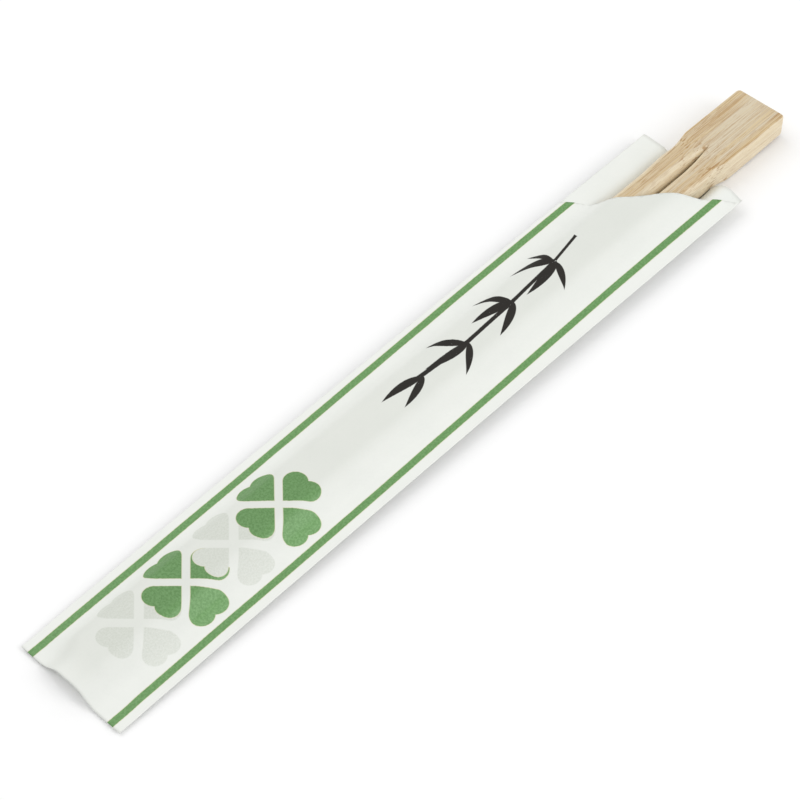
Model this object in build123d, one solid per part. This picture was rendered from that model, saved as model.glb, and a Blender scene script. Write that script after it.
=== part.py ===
"""Unsplit pair of bamboo chopsticks in an open-mouthed paper sleeve, in millimetres.

The object lies flat on z = 0. +X runs along the sleeve towards the joined head, +Z is up,
and the origin is at the middle of the underside of the whole object. Stations along the
object are measured from the sleeve's sealed edge, and the finished solids are shifted at
the end, so that the origin comes to the middle.
"""
from build123d import *
from math import asin, atan2, degrees, hypot, radians, tan
import os

# Chopstick pair: one piece of bamboo, two turned sticks joined by a flat head
pair_length = 210.0         # tips to head end
head_length = 20.0          # head end to neck
stick_size = 6.1            # each stick across its flats at the neck
stick_flat = 0.7            # width of those flats between the rounded corners
split_width = 0.7           # gap between the sticks at the neck
tip_size = 4.0
tip_flat = 0.2
tip_chamfer = 0.6
neck_step = 0.25            # the head stands this far proud of the sticks on each side
neck_rise = 0.2             # and this far above and below them
runout_length = 5.5         # where the turned sticks run out into the square head
runout_spans = 3            # spans of the loft along the run-out
head_edge_radius = 0.4      # long edges and end of the head
head_corner_radius = 1.1    # plan corners of the head end
end_skew = 1.0              # how far the head end is cut out of square

# Paper sleeve: one folded sheet, glued along the back and across the bottom
bare_length = 24.5          # head showing past the back panel
sleeve_width = 29.5         # fold to fold
paper = 0.15
crease = 0.3                # pressed depth of each side fold
corner_height = 0.6         # side folds above the table at the sealed edge
fold_height = 2.6           # and from the raised station on
raised_station = 75.0
valley_gap = 2.8            # stick's side to where the two panels come together
seam_length = 2.5           # glued strip at the sealed edge
seam_arch = 3.7             # how high the tips lift the middle of the sealed edge
seam_flat = 5.5             # width of the lifted middle
mouth_left_inset = 29.3     # back panel's free edge to the front panel's cut, left fold
mouth_right_inset = 1.3     # the same at the right fold
underside_trim = 0.05       # paper pressed flat on the table under the sticks

# How the pair lies in the sleeve
tip_inset = 8.8             # sealed edge to tips
pair_yaw = 0.65             # degrees, the head turned to the right
head_offset = -0.35         # middle of the head end from the sleeve's centreline
slack = 0.1                 # air between the sticks and the paper
hairline = 0.01             # half the height left where the sleeve's room runs out
cut_margin = 1.0            # how far the cutting forms run past what they cut

stick_pitch = stick_size + split_width
head_width = stick_pitch + stick_size + 2 * neck_step
head_thickness = stick_size + 2 * neck_rise
neck_station = pair_length - head_length
turned_station = neck_station - runout_length
overall_length = tip_inset + pair_length
sleeve_length = overall_length - bare_length
half_width = sleeve_width / 2
seat = paper + slack


def stick_section(station, centre_y, width, height, radius):
    """Rounded cross-section of one stick, square to its length."""
    plane = Plane(origin=(station, centre_y, 0), x_dir=(0, 1, 0), z_dir=(1, 0, 0))
    return plane * RectangleRounded(width, height, radius)


def runout_section(fraction, side):
    """Section on the run-out: fraction 0 is the fully turned stick, 1 is half the head."""
    rise = fraction ** 2
    turned_radius = (stick_size - stick_flat) / 2
    width = stick_size + (head_width / 2 - stick_size) * rise
    height = stick_size + (head_thickness - stick_size) * rise
    radius = turned_radius + (head_edge_radius - turned_radius) * rise
    centre = stick_pitch / 2 + (head_width / 4 - stick_pitch / 2) * rise
    station = turned_station + runout_length * fraction
    return stick_section(station, side * centre, width, height, radius)


def turned_stick(side):
    """One stick from its tip to the neck; side is 1 for the left one and -1 for the right."""
    tip_radius = (tip_size - tip_flat) / 2
    tip = stick_section(0, side * stick_pitch / 2, tip_size, tip_size, tip_radius)
    shank = loft([tip, runout_section(0, side)], ruled=True)
    shank = chamfer(shank.faces().sort_by(Axis.X)[0].edges(), tip_chamfer)
    steps = range(runout_spans + 1)
    runout = loft([runout_section(step / runout_spans, side) for step in steps])
    return shank + runout


def joined_head():
    """The flat head that holds the two sticks together, with its end cut slightly askew."""
    outline = Polyline(
        (neck_station, -head_width / 2),
        (pair_length, -head_width / 2),
        (pair_length - end_skew, head_width / 2),
        (neck_station, head_width / 2),
        close=True,
    )
    plan = make_face(outline)
    plan = fillet(plan.vertices().sort_by(Axis.X)[-2:], head_corner_radius)
    head = Pos(0, 0, -head_thickness / 2) * extrude(plan, head_thickness)
    rims = head.faces().filter_by(Axis.Z).edges()
    rims = rims.filter_by(lambda edge: edge.center().X > neck_station + head_edge_radius)
    return fillet(rims, head_edge_radius)


def lie_in_sleeve(pair):
    """Tilt the pair on to its tips and neck, turn it and seat it on the back panel."""
    tilt = degrees(atan2((head_thickness - tip_size) / 2, neck_station))
    pair = Rot(0, -tilt, 0) * Pos(0, 0, tip_size / 2) * pair
    turned = Rot(0, 0, -pair_yaw) * Pos(-pair_length, 0, seat) * pair
    return Pos(overall_length, head_offset, 0) * turned


def pair_centre(station):
    """Sideways place of the pair's middle at a station along the sleeve."""
    return head_offset + (overall_length - station) * tan(radians(pair_yaw))


def grown(station, at_tip, at_neck):
    """A size of the sticks at a station, between its value at the tips and at the neck."""
    share = min((station - tip_inset) / turned_station, 1)
    return at_tip + (at_neck - at_tip) * share


def fold_level(station):
    """Height of the side folds at a station: they rise from the sealed edge's corners."""
    share = min(max(station - seam_length, 0) / (raised_station - seam_length), 1)
    return corner_height + (fold_height - corner_height) * share


def ridge_reach(corner_y, corner_z, radius, valley_y, valley_z, top):
    """Where paper drawn from a valley over a stick's rounded corner reaches the top."""
    run = valley_y - corner_y
    rise = corner_z - valley_z
    slope = atan2(rise, run) + asin(radius / hypot(run, rise))
    return valley_y - (top - valley_z) / tan(slope)


def sheet_section(station, skin, bottom, valley, ridge):
    """The sleeve's section: underside, raised side flaps with their folds, and the top.

    skin is the paper's thickness, or 0 for the room inside. bottom and ridge are a half
    width and a height, valley is a half width, and all lie about the pair's middle.
    """
    plane = Plane(origin=(station, 0, 0), x_dir=(0, 1, 0), z_dir=(1, 0, 0))
    centre = pair_centre(station)
    level = fold_level(station)
    half_fold = half_width if skin else half_width - crease
    half_edge = paper if skin else hairline
    half_flap = skin + slack
    outline = []
    for side in (1, -1):
        flank = [
            (centre + side * bottom[0], bottom[1]),
            (centre + side * valley, level - half_flap),
            (side * half_fold, level - half_edge),
            (side * half_fold, level + half_edge),
            (centre + side * valley, level + half_flap),
            (centre + side * ridge[0], ridge[1]),
        ]
        outline += flank[::side]
    return plane * make_face(Polyline(*outline, close=True))


def valley_reach(station):
    """Half width at which the two panels come together beside the pair."""
    return (stick_pitch + grown(station, tip_size, stick_size)) / 2 + valley_gap


def tube_section(station, skin):
    """Section around the sticks, skin thick outside them."""
    size = grown(station, tip_size, stick_size)
    radius = (size - grown(station, tip_flat, stick_flat)) / 2
    half_pair = (stick_pitch + size) / 2
    valley = valley_reach(station)
    low = -underside_trim if skin else paper
    stick_top = seat + grown(station, 0, neck_rise) + size
    top = stick_top + slack + skin
    cover = radius + slack + skin
    valley_z = fold_level(station) + slack + skin
    reach = ridge_reach(half_pair - radius, stick_top - radius, cover, valley, valley_z, top)
    return sheet_section(station, skin, (half_pair, low), valley, (reach, top))


def seam_section(station, skin):
    """Section at the glued strip, where the two panels meet in a low arch."""
    half_depth = skin if skin else hairline
    middle = seam_arch - paper
    half_flat = seam_flat / 2
    valley = valley_reach(tip_inset)
    return sheet_section(
        station, skin, (half_flat, middle - half_depth), valley, (half_flat, middle + half_depth)
    )


def front_cut():
    """What is cut away from the front panel beyond its slanted mouth."""
    left = sleeve_length - mouth_left_inset
    right = sleeve_length - mouth_right_inset
    past = half_width + cut_margin
    spread = (right - left) / sleeve_width * cut_margin
    outline = Polyline(
        (right + spread, -past),
        (left - spread, past),
        (sleeve_length + cut_margin, past),
        (sleeve_length + cut_margin, -past),
        close=True,
    )
    return Pos(0, 0, fold_height) * extrude(make_face(outline), 2 * head_thickness)


def make_sleeve():
    """The folded sheet: its outer form, less the room inside, less the slanted mouth."""
    tip_station = tip_inset - slack
    outer = loft([
        seam_section(0, paper),
        seam_section(seam_length, paper),
        tube_section(tip_station, paper),
        tube_section(raised_station, paper),
        tube_section(sleeve_length, paper),
    ], ruled=True)
    room = loft([
        seam_section(seam_length, 0),
        tube_section(tip_station, 0),
        tube_section(raised_station, 0),
        tube_section(sleeve_length + cut_margin, 0),
    ], ruled=True)
    return split(outer, Plane.XY, keep=Keep.TOP) - room - front_cut()


chopsticks = turned_stick(1) + turned_stick(-1) + joined_head()
parts = {
    "chopstick_pair": lie_in_sleeve(chopsticks),
    "paper_sleeve": make_sleeve(),
}
boxes = [solid.bounding_box() for solid in parts.values()]
middle = (min(box.min.X for box in boxes) + max(box.max.X for box in boxes)) / 2

os.makedirs("parts", exist_ok=True)
for name, solid in parts.items():
    export_step(Pos(-middle, 0, 0) * solid, f"parts/{name}.step")
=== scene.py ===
import bpy
import bmesh
from bisect import bisect_right
from math import atan2, cos, hypot, pi, radians, sin, sqrt
from mathutils import Matrix, Vector, noise


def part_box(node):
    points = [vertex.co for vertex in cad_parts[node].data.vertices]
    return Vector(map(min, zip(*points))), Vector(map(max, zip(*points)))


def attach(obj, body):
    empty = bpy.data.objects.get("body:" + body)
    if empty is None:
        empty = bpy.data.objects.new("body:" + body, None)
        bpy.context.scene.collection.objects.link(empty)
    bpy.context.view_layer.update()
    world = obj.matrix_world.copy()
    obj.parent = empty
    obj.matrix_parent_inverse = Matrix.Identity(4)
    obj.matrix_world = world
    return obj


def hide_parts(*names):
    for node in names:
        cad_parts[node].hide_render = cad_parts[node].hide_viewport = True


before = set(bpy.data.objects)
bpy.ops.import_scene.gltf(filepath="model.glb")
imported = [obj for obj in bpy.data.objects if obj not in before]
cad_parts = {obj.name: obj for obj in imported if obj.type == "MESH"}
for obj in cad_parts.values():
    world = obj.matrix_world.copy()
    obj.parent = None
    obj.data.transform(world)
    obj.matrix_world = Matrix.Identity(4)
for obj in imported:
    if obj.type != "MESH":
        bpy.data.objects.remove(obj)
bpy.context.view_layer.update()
mm = 0.001  # shapes are worked out in millimetres and put into the scene in metres
nearly = 1e-5  # tolerances, in millimetres
merging = 1e-4

sleeveLow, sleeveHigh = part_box("paper_sleeve")
sealedEdge = sleeveLow.x / mm  # stations along the object start here
sleeveLength = (sleeveHigh.x - sleeveLow.x) / mm


def mix(low, high, share):
    return low + (high - low) * share


def clamp(value):
    return max(0.0, min(1.0, value))


def ease(share):
    share = clamp(share)
    return share * share * (3 - 2 * share)


def dome(offset, reach):
    # 1 in the middle, falling smoothly to 0 at the reach
    return (1 - min(abs(offset / reach), 1) ** 2) ** 2


def wave(along, across, up, length, width, seed=0.0):
    # smooth noise, drawn out along the object
    return noise.noise(Vector((along / length, across / width, up / width + seed)))


def spread(*spans):
    # evenly spaced values over spans of (start, end, steps)
    values = [start + (end - start) * step / steps for start, end, steps in spans for step in range(steps)]
    return values + [spans[-1][1]]


def sheetOfFaces(columns, rows):
    # a flat grid laid out on the given column and row values
    mesh = bmesh.new()
    across, along = len(columns) - 1, len(rows) - 1
    bmesh.ops.create_grid(mesh, x_segments=across, y_segments=along, size=0.5)
    for vertex in mesh.verts:
        column = columns[round((vertex.co.x + 0.5) * across)]
        row = rows[round((vertex.co.y + 0.5) * along)]
        vertex.co = (column, row, 0)
    return mesh


def makeObject(name, mesh, *materials):
    data = bpy.data.meshes.new(name)
    mesh.to_mesh(data)
    mesh.free()
    for polygon in data.polygons:
        polygon.use_smooth = True
    for material in materials:
        data.materials.append(material)
    item = bpy.data.objects.new(name, data)
    bpy.context.scene.collection.objects.link(item)
    return item


def makePiece(name, mesh, node, slotName, *materials):
    piece = makeObject(name, mesh, *materials)
    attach(piece, "root")
    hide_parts(node)
    return piece


# Shader maths: a Value wraps a node socket, so an expression on values adds its own Math nodes

class Value:
    def __init__(self, finish, socket):
        self.finish = finish
        self.socket = socket

    def maths(self, operation, *others, clamped=False):
        settings = {"operation": operation, "use_clamp": clamped}
        return self.finish.add("ShaderNodeMath", settings, self, *others)

    def __add__(self, other):
        return self.maths("ADD", other)

    def __radd__(self, other):
        return self.maths("ADD", other)

    def __sub__(self, other):
        return self.maths("SUBTRACT", other)

    def __rsub__(self, other):
        return self.finish.add("ShaderNodeMath", {"operation": "SUBTRACT"}, other, self)

    def __mul__(self, other):
        return self.maths("MULTIPLY", other)

    def __rmul__(self, other):
        return self.maths("MULTIPLY", other)

    def __truediv__(self, other):
        return self.maths("DIVIDE", other)

    def __abs__(self):
        return self.maths("ABSOLUTE")

    def least(self, other):
        return self.maths("MINIMUM", other)

    def most(self, other):
        return self.maths("MAXIMUM", other)

    def power(self, other):
        return self.maths("POWER", other)

    def inside(self, softness):
        # 1 where the value is above zero, 0 below, with an edge that soft
        return self.maths("MULTIPLY_ADD", 1 / softness, 0.5, clamped=True)

    def between(self, low, high):
        # 0 at low, 1 at high, smooth in between
        settings = {"interpolation_type": "SMOOTHSTEP"}
        return self.finish.add("ShaderNodeMapRange", settings, self, low, high, 0.0, 1.0)


class Finish:
    def __init__(self, name, roughness, specular):
        self.material = bpy.data.materials.new(name)
        self.material.use_nodes = True
        self.tree = self.material.node_tree
        self.shader = self.tree.nodes["Principled BSDF"]
        self.shader.inputs["Roughness"].default_value = roughness
        self.shader.inputs["Specular IOR Level"].default_value = specular

    def add(self, kind, settings, *values, output=0, **named):
        node = self.tree.nodes.new(kind)
        for setting, value in settings.items():
            setattr(node, setting, value)
        for key, value in [*enumerate(values), *named.items()]:
            self.join(value, node.inputs[key])
        return Value(self, node.outputs[output])

    def join(self, value, socket):
        if isinstance(value, Value):
            self.tree.links.new(value.socket, socket)
        else:
            socket.default_value = value

    def feed(self, name, value):
        self.join(value, self.shader.inputs[name])

    def blend(self, share, first, second, way="MIX"):
        # a Mix node's sockets for colours are its inputs 6 and 7 and its output 2
        settings = {"data_type": "RGBA", "blend_type": way}
        node = self.add("ShaderNodeMix", settings, output=2)
        sockets = node.socket.node.inputs
        self.join(share, sockets[0])
        self.join(first, sockets[6])
        self.join(second, sockets[7])
        return node

    def position(self):
        return self.add("ShaderNodeTexCoord", {}, output="Object")

    def stretched(self, vector, scale, location=(0, 0, 0)):
        return self.add("ShaderNodeMapping", {}, vector, location, Scale=scale)

    def split(self, vector):
        node = self.add("ShaderNodeSeparateXYZ", {}, vector).socket.node
        return [Value(self, output) for output in node.outputs]

    def grain(self, vector, scale, detail=2.0, rough=0.5):
        return self.add("ShaderNodeTexNoise", {}, vector, Scale=scale, Detail=detail, Roughness=rough)

    def bump(self, height, depth, strength):
        # height runs from 0 to 1 and stands for that depth in metres
        return self.add("ShaderNodeBump", {}, Height=height, Distance=depth, Strength=strength)


# Bamboo pair: one blank, split up to the neck, with rounded sticks and a square head

pairShape = {
    "length": 210.0,
    "head": 20.0,
    "headWidth": 13.4,
    "headHeight": 6.5,
    "headEdge": 0.45,       # softened long edges of the head
    "endCorner": 1.1,       # rounding of the head end seen from above
    "endSkew": 1.0,         # how far the head end is out of square
    "stick": 6.1,
    "tip": 4.0,
    "tipChamfer": 0.6,
    "chamferInside": 0.5,   # share of that chamfer on the side towards the split
    "split": 0.7,           # gap between the sticks at the neck
    "slotInHead": 1.0,      # how far the split runs on into the head
    "slotTaper": 7.0,       # length over which the split closes
    "runOut": 6.0,          # length over which the stick grows into the head
    "waist": 0.35,          # how far the outer side is hollowed before the neck
    "waistReach": 4.5,      # half the length of that hollow
    "rounding": 2.6,        # corner radius of the fully turned stick
    "roundingLength": 16.0,
    "flatLeft": 0.1,        # half the flat that stays between two rounded corners
    "grooveLength": 10.0,   # over which the split's own edges round off
    "grooveCurve": 0.58,
    "endTaper": 0.18,       # how much of its lower half the head loses towards its end
    "unevenSides": 0.01,    # as a share of the width
    "unevenTop": 0.0125,    # as a share of the height
    "ripple": 0.4,          # finer unevenness, as a share of the broader
    "endFacing": 0.8,       # how squarely a face looks along the pair where end grain shows
    "tipInset": 8.8,        # sealed edge of the sleeve to the tips
    "seat": 0.25,           # underside above the table
    "headOffset": -0.35,
    "yaw": 0.65,            # degrees
}
neck = pairShape["length"] - pairShape["head"]
slotTip = neck + pairShape["slotInHead"]
stickPitch = pairShape["stick"] + pairShape["split"]
headRise = (pairShape["headHeight"] - pairShape["stick"]) / 2
headEndStation = pairShape["tipInset"] + pairShape["length"]


def stickWidth(along):
    turned = neck - pairShape["runOut"]
    return mix(pairShape["tip"], pairShape["stick"], clamp(along / turned))


def rounded(depth, radius):
    # how far a rounded edge of that radius draws in, at a depth from the end
    depth = min(depth, radius)
    return radius - sqrt(radius ** 2 - (radius - depth) ** 2)


def turnedRadius(along):
    return min(pairShape["rounding"], stickWidth(along) / 2 - pairShape["flatLeft"])


def cornerRadius(along):
    share = clamp((neck - along) / pairShape["roundingLength"])
    return mix(pairShape["headEdge"], turnedRadius(along), share)


def halfSection(along):
    # inner and outer side, half height, and the radii of the inner and outer edges
    below = neck - along
    rise = clamp(1 - below / pairShape["runOut"]) ** 2
    stick = stickWidth(along)
    outer = mix((stickPitch + stick) / 2, pairShape["headWidth"] / 2, rise)
    outer -= pairShape["waist"] * dome(below - pairShape["waistReach"], pairShape["waistReach"])
    half = mix(stick, pairShape["headHeight"], rise) / 2
    inner = (stickPitch - stick) / 2 * ease((slotTip - along) / pairShape["slotTaper"])
    groove = clamp((slotTip - along) / pairShape["grooveLength"]) ** pairShape["grooveCurve"]
    innerRadius = turnedRadius(along) * groove
    toEnd = pairShape["length"] - along
    outer -= rounded(toEnd, pairShape["endCorner"])
    half -= rounded(toEnd, pairShape["headEdge"])
    chamfer = max(pairShape["tipChamfer"] - along, 0)
    inner += chamfer * pairShape["chamferInside"]
    return inner, outer - chamfer, half - chamfer, innerRadius, cornerRadius(along)


def halfRing(along, arcSteps=6, flatSteps=6):
    # points round one half's section, from the middle of its inner side and back to it
    inner, outer, half, innerRadius, outerRadius = halfSection(along)
    corners = [
        (inner + innerRadius, half - innerRadius, innerRadius, 180),
        (outer - outerRadius, half - outerRadius, outerRadius, 90),
        (outer - outerRadius, outerRadius - half, outerRadius, 0),
        (inner + innerRadius, innerRadius - half, innerRadius, -90),
    ]
    ring = [Vector((inner, 0))]
    for y, z, radius, start in corners:
        angles = [radians(start - 90 * step / arcSteps) for step in range(arcSteps + 1)]
        arc = [Vector((y + radius * cos(angle), z + radius * sin(angle))) for angle in angles]
        last = ring[-1]
        ring += [last.lerp(arc[0], step / flatSteps) for step in range(1, flatSteps)]
        ring += arc
    last = ring[-1]
    ring += [last.lerp(ring[0], step / flatSteps) for step in range(1, flatSteps + 1)]
    return ring


def layPair():
    # from the pair's own axis to where it lies in the sleeve, tilted on to its tips and neck
    tilt = atan2((pairShape["headHeight"] - pairShape["tip"]) / 2, neck)
    lift = Matrix.Translation((0, 0, pairShape["tip"] / 2))
    toHeadEnd = Matrix.Translation((-pairShape["length"], 0, 0))
    place = Matrix.Translation((sealedEdge + headEndStation, pairShape["headOffset"], pairShape["seat"]))
    turn = Matrix.Rotation(radians(-pairShape["yaw"]), 4, "Z")
    return place @ turn @ toHeadEnd @ Matrix.Rotation(-tilt, 4, "Y") @ lift


def isInsideHead(vertex):
    # on the plane on which the two halves of the head are one piece
    return abs(vertex.co.y) < nearly and vertex.co.x > slotTip - nearly


def makeHalf():
    # one stick and its half of the head, with closer rings where the section changes quickly
    length, chamfer = pairShape["length"], pairShape["tipChamfer"]
    stations = spread(
        (0, chamfer, 2), (chamfer, 8, 4), (8, 150, 14), (150, 172, 11), (172, slotTip, 26),
        (slotTip, length - 1.2, 18), (length - 1.2, length - 0.3, 4), (length - 0.3, length, 4),
    )
    rings = [halfRing(along) for along in stations]
    mesh = sheetOfFaces(list(range(len(stations))), list(range(len(rings[0]))))
    for vertex in mesh.verts:
        station = round(vertex.co.x)
        y, z = rings[station][round(vertex.co.y)]
        vertex.co = (stations[station], y, z)
    inHead = [face for face in mesh.faces if all(isInsideHead(vertex) for vertex in face.verts)]
    bmesh.ops.delete(mesh, geom=inHead, context="FACES")
    bmesh.ops.remove_doubles(mesh, verts=mesh.verts, dist=merging)
    return mesh


def makeUneven(mesh):
    # the head end is sawn askew and tapers underneath, and no side is quite even
    for vertex in mesh.verts:
        along, y, z = vertex.co
        share = clamp((along - neck) / pairShape["head"])
        skew = pairShape["endSkew"] * (y / pairShape["headWidth"] + 0.5) * share
        ripple = wave(along, y, z, length=5, width=1.5, seed=7)
        uneven = wave(along, y, z, length=14, width=5) + pairShape["ripple"] * ripple
        if z < 0:
            z *= 1 - pairShape["endTaper"] * ease(share)
        y *= 1 + uneven * pairShape["unevenSides"]
        z *= 1 + uneven * pairShape["unevenTop"]
        vertex.co = (along - skew, y, z)


def makePair(bareWood, endGrain):
    mesh = makeHalf()
    everything = mesh.verts[:] + mesh.edges[:] + mesh.faces[:]
    bmesh.ops.mirror(mesh, geom=everything, axis="Y", merge_dist=merging)
    openEdges = [edge for edge in mesh.edges if edge.is_boundary]
    bmesh.ops.holes_fill(mesh, edges=openEdges, sides=0)
    bmesh.ops.recalc_face_normals(mesh, faces=mesh.faces)
    mesh.normal_update()
    for face in mesh.faces:
        face.material_index = 1 if abs(face.normal.x) > pairShape["endFacing"] else 0
    sideLayer = mesh.verts.layers.float.new("sideFacing")  # 1 on the sides, 0 on top and underneath
    for vertex in mesh.verts:
        vertex[sideLayer] = abs(vertex.normal.y)
    makeUneven(mesh)
    bmesh.ops.transform(mesh, matrix=Matrix.Scale(mm, 4) @ layPair(), verts=mesh.verts)
    return makePiece("bamboo_pair", mesh, "chopstick_pair", "bamboo", bareWood, endGrain)


# Paper sleeve: one sheet, folded at both sides, lapped down the back and pressed shut at the end

sleeveShape = {
    "flatWidth": 30.4,       # front panel, fold to fold along the paper
    "lap": 8.0,              # where the two edges overlap down the back
    "lapStep": 1.2,          # over which the upper layer climbs on to the lower
    "paper": 0.1,
    "glue": 0.01,            # between layers that are stuck together
    "foldRadius": 0.12,
    "foldLength": 1.5,       # beside a fold, over which its two layers come together
    "apart": 0.05,           # air left between the two layers of the flaps
    "chord": 29.4,           # straight distance from fold to fold
    "cornerLevel": 0.7,      # side folds above the table at the sealed edge
    "mouthLevel": 3.2,       # and at the mouth
    "levelCurve": 2.2,       # they rise most steeply near the sealed edge
    "seam": 2.5,             # pressed strip at the sealed edge
    "archTop": 3.75,
    "archReach": 8.3,
    "archFlat": 2.2,
    "archShift": 0.3,        # its middle, as a share of how far to the side the tips lie
    "cutLeft": 165.0,        # where the slanted cut leaves the left fold
    "cutRight": 193.2,       # and where it meets the right fold
    "cutSag": 1.9,           # the cut isn't quite straight: it dips by this much
    "sagPlace": 5.3,
    "sagReach": 9.0,
    "sagLength": 25.0,       # how far behind the cut the rows of faces bend with it
    "air": 0.12,             # paper above the sticks
    "descent": 3.3,          # from the sticks' sides to where the front meets the flaps
    "rightSlack": 0.3,       # that much wider on the right
    "shoulder": 0.9,         # share of a stick's rounding over which the front already comes down
    "underAir": 0.005,       # back panel above the table
    "hug": 0.6,              # share of its height that the back panel climbs close beside the sticks
    "hugWidth": 0.6,
    "hugUnder": 0.3,         # that climb begins this share of a stick's rounding inside its side
    "underRise": 3.0,        # width over which it climbs the rest
    "backLead": 0.6,         # how far before the tips the back panel is fully open
    "crestRise": 0.35,       # slack paper standing over the right stick near the mouth
    "crestPlace": -3.6,
    "crestReach": 4.5,
    "crestStart": 60.0,
    "crestLength": 110.0,
    "flapBow": 1.1,          # right flap bowing up near the mouth
    "bowPlace": -10.9,
    "bowReach": 3.7,
    "bowLeast": 0.15,        # share of it that is left far from the mouth
    "bowStart": 110.0,
    "bowLength": 75.0,
    "bowFromSeam": 30.0,     # it dies out over this much next to the sealed edge
    "dents": 0.16,           # soft unevenness of the loose paper
    "fineDents": 0.35,       # the finer part, as a share of the broader
    "calmFold": 3.0,         # the paper grows even over this much beside a fold
    "calmSeam": 5.0,         # and over this much before the seam
    "deepestDent": -0.04,    # where the paper lies over the sticks
}
halfFlat = sleeveShape["flatWidth"] / 2
halfChord = sleeveShape["chord"] / 2
halfPaper = sleeveShape["paper"] / 2
foldShare = pi * sleeveShape["foldRadius"] / 2  # paper taken up by each side of a fold
panelLength = sleeveShape["flatWidth"] - 2 * foldShare


def pairMiddle(station):
    return pairShape["headOffset"] + (headEndStation - station) * radians(pairShape["yaw"])


def pairReach(station):
    return (stickPitch + stickWidth(station - pairShape["tipInset"])) / 2


def foldLevel(station):
    share = 1 - (1 - clamp(station / sleeveLength)) ** sleeveShape["levelCurve"]
    return mix(sleeveShape["cornerLevel"], sleeveShape["mouthLevel"], share)


def stickTop(station):
    along = max(station - pairShape["tipInset"], 0)
    return pairShape["seat"] + headRise * clamp(along / neck) + stickWidth(along) + sleeveShape["air"]


def flapBow(station, y):
    # both layers of the right flap stand up a little, most of all near the mouth
    toMouth = ease((station - sleeveShape["bowStart"]) / sleeveShape["bowLength"])
    strength = mix(sleeveShape["bowLeast"], 1.0, toMouth) * sleeveShape["flapBow"]
    bow = strength * dome(y - sleeveShape["bowPlace"], sleeveShape["bowReach"])
    return bow * ease(station / sleeveShape["bowFromSeam"])


def dent(station, y):
    # loose paper is never quite even, but it is held flat at the folds and the seam
    broad = wave(station, y, 0, length=17, width=5, seed=3.1)
    fine = wave(station, y, 0, length=7, width=3.2, seed=8.4)
    edges = ease((halfChord - abs(y)) / sleeveShape["calmFold"])
    edges *= ease((station - 1) / sleeveShape["calmSeam"])
    return (broad + sleeveShape["fineDents"] * fine) * sleeveShape["dents"] * edges


def layerHalf(y):
    # half the distance between the two layers: the fold keeps them apart, elsewhere they nearly touch
    inwards = (halfChord - abs(y)) / sleeveShape["foldLength"]
    return mix(sleeveShape["foldRadius"], halfPaper + sleeveShape["apart"] / 2, ease(inwards))


def archLevel(y):
    # middle of the two pressed layers along the seam
    away = abs(y - pairMiddle(0) * sleeveShape["archShift"])
    reach, flat = sleeveShape["archReach"], sleeveShape["archFlat"]
    return mix(foldLevel(0), sleeveShape["archTop"], ease((reach - away) / (reach - flat)))


def openUp(station, openStation, pressed, opened):
    # from the pressed seam to the open sleeve
    seam = sleeveShape["seam"]
    return mix(pressed, opened, ease((station - seam) / (openStation - seam)))


def frontHeight(station, y):
    middle, reach = pairMiddle(station), pairReach(station)
    descent = sleeveShape["descent"]
    width = descent + sleeveShape["shoulder"] * turnedRadius(station - pairShape["tipInset"])
    left = ease((middle + reach + descent - y) / width)
    right = ease((y - middle + reach + descent + sleeveShape["rightSlack"]) / width)
    crest = sleeveShape["crestRise"] * dome(y - middle - sleeveShape["crestPlace"], sleeveShape["crestReach"])
    crest *= ease((station - sleeveShape["crestStart"]) / sleeveShape["crestLength"])
    flap = foldLevel(station) + layerHalf(y) + flapBow(station, y) + dent(station, y)
    # dents over the sticks are those of the flaps further along, so that the two differ
    over = stickTop(station) + crest + max(dent(station + 60, y), sleeveShape["deepestDent"])
    pressed = archLevel(y) + halfPaper + sleeveShape["glue"]
    return openUp(station, pairShape["tipInset"], pressed, mix(flap, over, left * right))


def backHeight(station, y):
    along = max(station - pairShape["tipInset"], 1)
    reach, under = halfSection(along)[1], sleeveShape["hugUnder"] * cornerRadius(along)
    away = abs(y - pairMiddle(station))
    hugging = ease((away - reach + under) / (sleeveShape["hugWidth"] + under))
    rise = mix(ease((away - reach) / sleeveShape["underRise"]), hugging, sleeveShape["hug"])
    flap = foldLevel(station) - layerHalf(y) + flapBow(station, y) + dent(station, y)
    opened = mix(halfPaper + sleeveShape["underAir"], flap, rise)
    pressed = archLevel(y) - halfPaper - sleeveShape["glue"]
    height = openUp(station, pairShape["tipInset"] - sleeveShape["backLead"], pressed, opened)
    return min(height, frontHeight(station, y) - sleeveShape["paper"] - sleeveShape["apart"])


class Panel:
    # the curve of one panel at a station, from the left fold to the right one
    def __init__(self, station, height, steps=120):
        sides = [halfChord - 2 * halfChord * step / steps for step in range(steps + 1)]
        self.points = [Vector((y, height(station, y))) for y in sides]
        self.lengths = [0.0]
        for start, end in zip(self.points, self.points[1:]):
            self.lengths.append(self.lengths[-1] + (end - start).length)

    def at(self, share):
        target = clamp(share) * self.lengths[-1]
        step = min(bisect_right(self.lengths, target), len(self.points) - 1)
        start, end = self.lengths[step - 1], self.lengths[step]
        return self.points[step - 1].lerp(self.points[step], clamp((target - start) / (end - start)))


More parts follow.
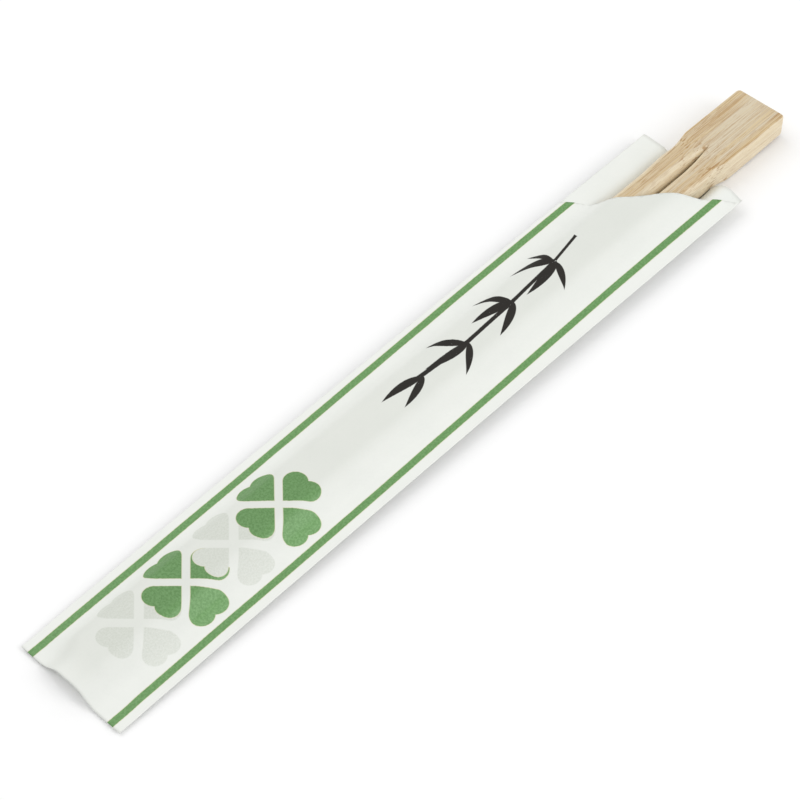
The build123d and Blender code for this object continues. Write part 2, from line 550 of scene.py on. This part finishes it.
def foldPoint(around, front, back):
    # a point of the flat sheet, around from the front's middle, on the folded section
    side = 1 if around > 0 else -1
    reach = abs(around)
    beyond = reach - (halfFlat - foldShare)
    if beyond <= 0:
        return front.at((halfFlat - foldShare - around) / panelLength)
    if beyond < 2 * foldShare:
        start = front.at(0 if side > 0 else 1)
        end = back.at(0 if side > 0 else 1)
        angle = beyond / sleeveShape["foldRadius"]
        y = start.x + side * sleeveShape["foldRadius"] * sin(angle)
        return y, mix(start.y, end.y, (1 - cos(angle)) / 2)
    share = (beyond - 2 * foldShare) / panelLength
    y, z = back.at(share if side > 0 else 1 - share)
    if side > 0:
        toEdge = halfFlat + sleeveShape["lap"] / 2 - (reach - foldShare)
        onLap = ease((sleeveShape["lap"] + sleeveShape["lapStep"] - toEdge) / sleeveShape["lapStep"])
        z += (sleeveShape["paper"] + sleeveShape["glue"]) * onLap
    return y, z


def cutMouth(mesh):
    # the front panel ends at a slanted cut, which sags a little
    front = [face for face in mesh.faces if abs(face.calc_center_median().y) < halfFlat]
    start = Vector((sleeveShape["cutRight"], -halfFlat, 0))
    cut = Vector((sleeveShape["cutLeft"], halfFlat, 0)) - start
    outward = Vector((cut.y, -cut.x, 0)).normalized()
    cutting = list({item for face in front for item in [*face.verts, *face.edges, face]})
    bmesh.ops.bisect_plane(mesh, geom=cutting, dist=nearly, plane_co=start, plane_no=outward)
    gone = []
    for face in mesh.faces:
        middle = face.calc_center_median()
        if abs(middle.y) < halfFlat and (middle - start).dot(outward) > 0:
            gone.append(face)
    bmesh.ops.delete(mesh, geom=gone, context="FACES")
    for vertex in mesh.verts:
        if abs(vertex.co.y) < halfFlat:
            toCut = -(vertex.co - start).dot(outward)
            sag = sleeveShape["cutSag"] * dome(vertex.co.y - sleeveShape["sagPlace"], sleeveShape["sagReach"])
            vertex.co.x -= sag * ease(1 - toCut / sleeveShape["sagLength"])


def makeSheet():
    # the whole sheet laid flat, with a few more columns of faces at the folds
    foldStart, foldEnd = halfFlat - foldShare, halfFlat + foldShare
    half = spread(
        (0, foldStart - 0.4, 27), (foldStart - 0.4, foldStart, 1), (foldStart, foldEnd, 6),
        (foldEnd, halfFlat + 0.8, 1), (halfFlat + 0.8, 2 * halfFlat + sleeveShape["lap"] / 2, 22),
    )
    around = [-value for value in reversed(half[1:])] + half
    seam = sleeveShape["seam"]
    stations = spread((0, seam, 4), (seam, 10, 12), (10, 30, 14), (30, 150, 70), (150, sleeveLength, 34))
    mesh = sheetOfFaces(stations, around)
    cutMouth(mesh)
    layer = mesh.loops.layers.uv.new("sheet")
    for face in mesh.faces:
        for loop in face.loops:
            loop[layer].uv = loop.vert.co.xy
    return mesh


def makeSleeve(*materials):
    mesh = makeSheet()
    panels = {}
    for vertex in mesh.verts:
        station, around = vertex.co.xy
        key = round(station, 4)
        if key not in panels:
            panels[key] = Panel(station, frontHeight), Panel(station, backHeight)
        y, z = foldPoint(around, *panels[key])
        vertex.co = (sealedEdge + station, y, z)
    bmesh.ops.transform(mesh, matrix=Matrix.Scale(mm, 4), verts=mesh.verts)
    piece = makePiece("printed_sleeve", mesh, "paper_sleeve", "paper", *materials)
    thickness = piece.modifiers.new("thickness", "SOLIDIFY")
    thickness.thickness = sleeveShape["paper"] * mm
    thickness.offset = 0
    thickness.use_even_offset = True
    thickness.material_offset = 1
    return piece


# Print on the front, in millimetres on the flat sheet

printStyle = {
    "stripePlace": 12.45,    # middle of each stripe from the front's middle
    "stripeWidth": 1.55,
    "skew": 1.0,             # the print runs off towards the left fold by this much at the mouth
    "skewStart": 45.0,
    "skewEnd": 170.0,
    "cloverSpacing": 13.55,
    "firstClover": 19.25,    # the lowest, pale one
    "greenAcross": -0.1,
    "greenSide": 5.55,       # of each heart's straight edges
    "greenGap": 1.85,
    "paleAcross": -0.35,
    "paleSide": 5.3,
    "paleGap": 2.0,
    "blankShare": 0.99,      # how much of a pale clover's outline is kept free of green
    "squashRising": 0.14,    # how much the hearts that point along the sleeve are shortened,
    "squashFalling": 0.04,   # across their two straight edges
    "wander": 0.16,          # how far the printed edges wander
    "mottle": (0.38, 0.62),  # levels of the noise between which the ink thins out
    "paleMottle": 0.7,
    "dryMottle": 0.35,       # how much the ink sprig pales where the brush ran dry
    "fringe": 0.13,          # yellow edge where the green's two colours don't quite meet
    "greenEdge": 0.06,       # softness of the green's edges
    "paleEdge": 0.25,
    "inkEdge": 0.12,
    "leafFullness": 0.55,    # the lower, the blunter a leaf's base
    "leafWidth": 1.28,       # brings a leaf to about its full width
    "leafThinned": 0.06,     # taken off each side of a leaf
    "strokeGap": 0.45,       # bare ends of a stretch of stem
    "strokeFlare": 0.25,     # how much thicker it grows towards them
    "showReach": 7.4,        # half width over which the sticks show through
    "showAcross": 0.45,      # middle of that, to the left of the sticks' own
    "showEdge": 4.5,
    "showStart": (-6.0, 9.0),  # along the sleeve, where it sets in
    "worn": (3.0, 8.0),      # to the right of that middle, where a painted sheen makes the green paler
    "wornShare": 0.5,
    "unworn": (11.5, 10.5),  # towards the stripes, which get no painted sheen
    "fringeShare": 0.6,
    "cloudShare": 0.4,
    "fibreShare": 0.16,
    "relief": 0.00004,       # metres
    "roughness": 0.62,
    "inkGloss": 0.24,        # how much smoother the green ink is than the paper
    "paperColour": (0.815, 0.83, 0.79, 1),
    "cloudColour": (0.775, 0.795, 0.755, 1),
    "fibreColour": (0.66, 0.68, 0.65, 1),
    "green": (0.117, 0.260, 0.084, 1),
    "greenThin": (0.168, 0.341, 0.126, 1),  # where the mottled ink lies thinner
    "greenPaintedSheen": (1.57, 1.42, 1.68, 1),     # painted sheen: how much paler the green is painted to the right of the sticks
    "yellow": (0.62, 0.60, 0.33, 1),
    "pale": (0.675, 0.70, 0.64, 1),
    "paleThin": (0.77, 0.79, 0.745, 1),
    "showThrough": (0.885, 0.89, 0.875, 1),
    "ink": (0.014, 0.0115, 0.008, 1),
}
# Leaves of the ink sprig: base along and across, direction in degrees, length, width, bend
sprigLeaves = [
    (105.0, 1.0, 160, 11.0, 2.3, 0.020),
    (105.5, 0.8, 205, 9.5, 2.0, -0.015),
    (118.5, 0.2, 128, 9.0, 2.1, 0.020),
    (118.8, 0.0, 178, 12.0, 2.4, -0.010),
    (119.0, -0.2, 228, 8.5, 1.9, -0.020),
    (134.0, 0.6, 118, 9.0, 2.0, 0.025),
    (134.5, 0.5, 160, 11.5, 2.4, 0.012),
    (134.2, 0.2, 214, 10.0, 2.2, -0.018),
    (149.0, 1.6, 98, 7.0, 1.8, 0.020),
    (149.5, 1.5, 142, 11.0, 2.3, 0.014),
    (149.5, 1.2, 196, 12.0, 2.4, -0.012),
    (149.2, 1.0, 244, 8.0, 1.9, -0.022),
]
# Joints of the sprig's thin stem: along, across and half width
sprigStem = [
    (101.0, 1.6, 0.55),
    (118.0, 0.2, 0.48),
    (133.5, 0.5, 0.42),
    (149.0, 1.5, 0.34),
    (158.5, 3.0, 0.22),
]


def cloverField(along, across, side, gap, filled=False):
    # four hearts round a middle, above zero inside, with the gaps between them at 45 degrees
    half = sqrt(0.5)
    rising, falling = (along + across) * half, (along - across) * half
    alongWays = (rising * falling).inside(0.01)  # 1 on the two hearts that point along the sleeve
    first = (abs(rising) - gap / 2) * (1 + alongWays * printStyle["squashRising"])
    second = (abs(falling) - gap / 2) * (1 + alongWays * printStyle["squashFalling"])
    field = side - first.most(second)
    for near, far in ((first, second), (second, first)):
        away = ((near - side) * (near - side) + (far - side / 2) * (far - side / 2)).power(0.5)
        field = field.most(side / 2 - away)
    return field if filled else field.least(first.least(second))


def strokeMask(along, across, start, end):
    # a brushed stretch of stem from one joint to the next, a little apart from both
    length = hypot(end[0] - start[0], end[1] - start[1])
    east, north = (end[0] - start[0]) / length, (end[1] - start[1]) / length
    forward = (along - start[0]) * east + (across - start[1]) * north
    sideways = abs((across - start[1]) * east - (along - start[0]) * north)
    flare = (abs(forward / length - 0.5) * 2).power(6.0)
    half = start[2] + printStyle["strokeFlare"] * flare * start[2]
    gap = printStyle["strokeGap"]
    ends = (forward - gap).least(length - gap - forward)
    return (half - sideways).least(ends).inside(printStyle["inkEdge"])


def leafMask(along, across, leaf):
    # a pressed brush leaf: full near its base, drawn out to a point, slightly bent
    baseAlong, baseAcross, direction, length, width, bend = leaf
    east, north = cos(radians(direction)), sin(radians(direction))
    forward = (along - baseAlong) * east + (across - baseAcross) * north
    sideways = (across - baseAcross) * east - (along - baseAlong) * north - forward * forward * bend
    share = forward / length
    half = share.power(printStyle["leafFullness"]) * (1 - share) * (width * printStyle["leafWidth"])
    return (half - abs(sideways) - printStyle["leafThinned"]).inside(printStyle["inkEdge"])


def sprigMask(along, across):
    masks = [strokeMask(along, across, start, end) for start, end in zip(sprigStem, sprigStem[1:])]
    masks += [leafMask(along, across, leaf) for leaf in sprigLeaves]
    ink = masks[0]
    for mask in masks[1:]:
        ink = ink.most(mask)
    return ink


def printFields(along, across):
    # green and pale areas, above zero inside: each clover is laid over the ones before it
    green = printStyle["stripeWidth"] / 2 - abs(abs(across) - printStyle["stripePlace"])
    pale = None
    for number, tint in enumerate(("pale", "green", "pale", "green")):
        forward = along - (printStyle["firstClover"] + number * printStyle["cloverSpacing"])
        sideways = across - printStyle[tint + "Across"]
        side, gap = printStyle[tint + "Side"], printStyle[tint + "Gap"]
        clover = cloverField(forward, sideways, side, gap)
        if tint == "green":
            green = green.most(clover)
        else:  # the green below a pale clover is left blank up to its outline, in its gaps too
            blank = cloverField(forward, sideways, side * printStyle["blankShare"], gap, filled=True)
            green = green.least(0 - blank)
            pale = clover if pale is None else pale.most(clover)
    return green, pale.least(0 - green)


def printOn(finish, sheet, colour):
    along, around = finish.split(sheet)[:2]
    # ink wets the paper unevenly, so every edge wanders a little and every field is mottled
    wander = (finish.grain(sheet, 1.6, 3.0, 0.6) - 0.5) * printStyle["wander"]
    speckle = finish.grain(sheet, 2.4, 4.0, 0.75).between(*printStyle["mottle"])
    spots = finish.grain(sheet, 1.9, 3.0, 0.7).between(*printStyle["mottle"])
    dry = finish.grain(finish.stretched(sheet, (0.35, 1.0, 1.0)), 5.0, 3.0, 0.6).between(0.66, 0.74)
    across = around - along.between(printStyle["skewStart"], printStyle["skewEnd"]) * printStyle["skew"]
    printAlong, printAcross = along + wander, across + wander
    onFront = (halfFlat - abs(around)).inside(0.05)
    middle = pairMiddle(along) + printStyle["showAcross"]
    greenField, paleField = printFields(printAlong, printAcross)
    green = greenField.inside(printStyle["greenEdge"])
    fringe = (greenField + printStyle["fringe"]).inside(printStyle["greenEdge"])
    pale = paleField.inside(printStyle["paleEdge"])

    paleInk = finish.blend(speckle * printStyle["paleMottle"], printStyle["pale"], printStyle["paleThin"])
    greenInk = finish.blend(spots, printStyle["green"], printStyle["greenThin"])
    # painted sheen: to the right of the sticks the green is painted paler, standing in for light from the
    # right gleaming on the ink
    worn = finish.blend(1.0, greenInk, printStyle["greenPaintedSheen"], "MULTIPLY")
    offStripes = abs(printAcross).between(*printStyle["unworn"])
    paintedSheenMask = (middle - around).between(*printStyle["worn"]) * offStripes * printStyle["wornShare"]
    greenInk = finish.blend(paintedSheenMask, greenInk, worn)
    colour = finish.blend(pale * onFront, colour, paleInk)
    colour = finish.blend(fringe * onFront * printStyle["fringeShare"], colour, printStyle["yellow"])
    colour = finish.blend(green * onFront, colour, greenInk)
    ink = sprigMask(printAlong, printAcross) * onFront * (1 - dry * printStyle["dryMottle"])
    colour = finish.blend(ink, colour, printStyle["ink"])
    finish.feed("Roughness", printStyle["roughness"] - green * onFront * printStyle["inkGloss"])
    # the sticks show faintly through the thin paper
    over = (printStyle["showReach"] - abs(around - middle)).between(0.0, printStyle["showEdge"])
    over = over * along.between(*printStyle["showStart"]) * onFront
    shaded = finish.blend(1.0, colour, printStyle["showThrough"], "MULTIPLY")
    return finish.blend(over, colour, shaded)


def paperFinish(name, printed):
    # cloudy paper with short fibres
    finish = Finish(name, roughness=printStyle["roughness"], specular=0.32)
    sheet = finish.add("ShaderNodeUVMap", {"uv_map": "sheet"})
    fibre = finish.grain(finish.stretched(sheet, (0.55, 1.0, 1.0)), 2.2, 6.0, 0.65)
    cloud = finish.grain(sheet, 0.11, 3.0, 0.55)
    clouded = cloud.between(0.35, 0.7) * printStyle["cloudShare"]
    fibrous = fibre.between(0.5, 0.8) * printStyle["fibreShare"]
    colour = finish.blend(clouded, printStyle["paperColour"], printStyle["cloudColour"])
    colour = finish.blend(fibrous, colour, printStyle["fibreColour"])
    if printed:
        colour = printOn(finish, sheet, colour)
    finish.feed("Base Color", colour)
    finish.feed("Normal", finish.bump(fibre + cloud * 2, printStyle["relief"], 0.55))
    return finish.material


# Bamboo: straight fibres along the blank, dotted with bundles where it is cut across

bambooStyle = {
    "heart": (0.65, 0.567, 0.42, 1),      # middle of the head's top
    "rind": (0.60, 0.46, 0.275, 1),       # browner towards the outer edges and down the sticks
    "side": (0.81, 0.715, 0.535, 1),      # paler rounded and sawn sides: partly the wood's own paler colour, partly painted light
    "honey": (0.67, 0.51, 0.26, 1),       # warmer fibres
    "streak": (0.36, 0.185, 0.055, 1),
    # how often each noise changes in a metre, along the fibres and across them
    "coarse": (14, 620),
    "strand": (24, 1800),
    "fine": (46, 3600),
    "hair": (30, 2600),
    "fleck": (420, 2400),
    "fade": (90, 300),
    # metres to the left and right of the middle, between which the wood turns browner
    "leftRind": (0.0008, 0.0042),
    "rightRind": (0.0042, 0.0054),
    "leftBrown": 0.4,
    "rightBrown": 0.9,
    "stickBrown": 0.3,
    "roughness": 0.5,
    "relief": 0.0001,        # metres
    "endRelief": 0.00008,
}


def fibres(finish, vector, name, detail=2.0, location=(0, 0, 0)):
    # noise drawn out along the fibres
    lengthways, across = bambooStyle[name]
    return finish.grain(finish.stretched(vector, (lengthways, across, across), location), 1.0, detail)


def thread(noiseValue, level, width):
    # thin lines where the noise passes a level
    return 1 - abs(noiseValue - level).between(0.0, width)


def bambooFinish():
    finish = Finish("bare bamboo", roughness=bambooStyle["roughness"], specular=0.35)
    # turned so that X runs along the pair, with the pair's own middle on the X axis
    yaw = radians(pairShape["yaw"])
    axis = (sealedEdge + headEndStation) * sin(yaw) + pairShape["headOffset"]
    turned = finish.add("ShaderNodeMapping", {}, finish.position(), (0, -axis * mm, 0), (0, 0, yaw))
    along, across = finish.split(turned)[:2]
    neckPlace = (sealedEdge + pairShape["tipInset"] + neck) * mm

    coarse = fibres(finish, turned, "coarse")
    strand = fibres(finish, turned, "strand")
    fine = fibres(finish, turned, "fine")
    hair = fibres(finish, turned, "hair", 1.0, (0.3, 0.2, 0.1))
    fleck = fibres(finish, turned, "fleck")
    fade = fibres(finish, turned, "fade").between(0.3, 0.62)
    side = finish.add("ShaderNodeAttribute", {"attribute_name": "sideFacing"}, output="Fac").between(0.15, 0.7)
    leftBrown = across.between(*bambooStyle["leftRind"]) * bambooStyle["leftBrown"]
    rightBrown = (0 - across).between(*bambooStyle["rightRind"]) * bambooStyle["rightBrown"]
    sticks = 1 - along.between(neckPlace - 0.006, neckPlace + 0.002)
    atNeck = 1 - abs(along - neckPlace + 0.0035).between(0.002, 0.006)
    browner = leftBrown + rightBrown + sticks * bambooStyle["stickBrown"] + (coarse - 0.5) * 1.3
    colour = finish.blend(browner, bambooStyle["heart"], bambooStyle["rind"])
    # faces turned to either side are painted paler: partly the wood's own colour, partly painted light that
    # lifts flanks lying in shade
    colour = finish.blend(side * 0.9, colour, bambooStyle["side"])
    honey = (hair - 0.5) * 2.2 + (coarse - 0.5) * 1.2 + 0.1
    colour = finish.blend(honey.least(0.6).most(0.0) * (1 - side * 0.5), colour, bambooStyle["honey"])
    lines = (thread(strand, 0.5, 0.03) * 0.8).most(thread(hair, 0.54, 0.035) * 0.7) * fade
    lines = lines.most(thread(coarse, 0.56, 0.016) * 0.55).most(fine.between(0.54, 0.62) * 0.5)
    lines = lines * (0.75 + (leftBrown + rightBrown) * 0.6)
    colour = finish.blend(lines * (1 - side * 0.6), colour, bambooStyle["streak"])
    colour = finish.blend(fleck.between(0.57, 0.66) * (atNeck * 0.5 + 0.2), colour, bambooStyle["streak"])
    finish.feed("Base Color", colour)
    finish.feed("Roughness", bambooStyle["roughness"] + strand * 0.15)
    finish.feed("Normal", finish.bump(strand * 0.6 + fine * 0.4, bambooStyle["relief"], 0.6))
    return finish.material


def bambooEndFinish():
    # cut across, the fibre bundles show as dots in paler wood
    finish = Finish("bamboo end grain", roughness=0.65, specular=0.25)
    section = finish.stretched(finish.position(), (0.01, 1, 1))
    cells = finish.add("ShaderNodeTexVoronoi", {"feature": "F1"}, section, Scale=1400.0)
    saw = finish.grain(finish.stretched(finish.position(), (1, 260, 2600)), 1.0, 3.0, 0.6)
    dots = 1 - cells.between(0.12, 0.36)
    colour = finish.blend(saw.between(0.35, 0.7) * 0.5, bambooStyle["side"], bambooStyle["rind"])
    finish.feed("Base Color", finish.blend(dots * 0.55, colour, bambooStyle["streak"]))
    finish.feed("Normal", finish.bump(saw - dots * 0.3, bambooStyle["endRelief"], 0.5))
    return finish.material


sleeve = makeSleeve(paperFinish("printed paper", True), paperFinish("paper inside", False))
print("sleeve folded:", len(sleeve.data.polygons), "faces")
pair = makePair(bambooFinish(), bambooEndFinish())
print("pair shaped:", len(pair.data.polygons), "faces")

# Floor, light and camera, in metres and degrees

studio = {
    "floor": (0.96, 0.96, 0.96, 1),
    "floorShade": (0.9, 0.9, 0.9, 1),
    "floorHalf": 2.5,
    "world": 0.76,
    "key": {"place": (0.3, -0.68, 0.56), "size": 0.6, "power": 2.3},
    "fill": {"place": (-0.1, 0.6, 0.75), "size": 0.8, "power": 2.5},
    "azimuth": 46.04,        # 0 looks along +Y, and it turns towards +X
    "elevation": 52.70,
    "distance": 0.6524,
    "aim": ((sealedEdge + 98.71) * mm, 1.83 * mm, 3.0 * mm),
    "lens": 135,
    "sensor": 36,
}


def makeFloor():
    mesh = bmesh.new()
    bmesh.ops.create_grid(mesh, x_segments=1, y_segments=1, size=studio["floorHalf"])
    finish = Finish("floor", roughness=0.9, specular=0.1)
    tone = finish.grain(finish.position(), 3.0) * 0.01
    finish.feed("Base Color", finish.blend(tone, studio["floor"], studio["floorShade"]))
    floor = makeObject("floor", mesh, finish.material)


def makeLight(name, place, size, power):
    # a square lamp that faces the middle of the object
    data = bpy.data.lights.new(name, "AREA")
    data.shape = "SQUARE"
    data.size = size
    data.energy = power
    light = bpy.data.objects.new(name, data)
    light.location = place
    light.rotation_euler = (-Vector(place)).to_track_quat("-Z", "Y").to_euler()
    bpy.context.scene.collection.objects.link(light)


def makeWorld():
    world = bpy.data.worlds.new("studio")
    world.use_nodes = True
    background = world.node_tree.nodes["Background"]
    background.inputs["Color"].default_value = (1, 1, 1, 1)
    background.inputs["Strength"].default_value = studio["world"]
    bpy.context.scene.world = world
    bpy.context.scene.view_settings.view_transform = "Standard"


def makeCamera():
    data = bpy.data.cameras.new("camera")
    data.lens = studio["lens"]
    data.sensor_width = studio["sensor"]
    data.clip_start = 0.01
    turn, drop = radians(studio["azimuth"]), radians(studio["elevation"])
    forward = Vector((sin(turn) * cos(drop), cos(turn) * cos(drop), -sin(drop)))
    camera = bpy.data.objects.new("camera", data)
    camera.location = Vector(studio["aim"]) - forward * studio["distance"]
    camera.rotation_euler = forward.to_track_quat("-Z", "Y").to_euler()
    bpy.context.scene.collection.objects.link(camera)
    bpy.context.scene.camera = camera


makeFloor()
makeLight("key", **studio["key"])
makeLight("fill", **studio["fill"])
makeWorld()
makeCamera()
print("studio set")
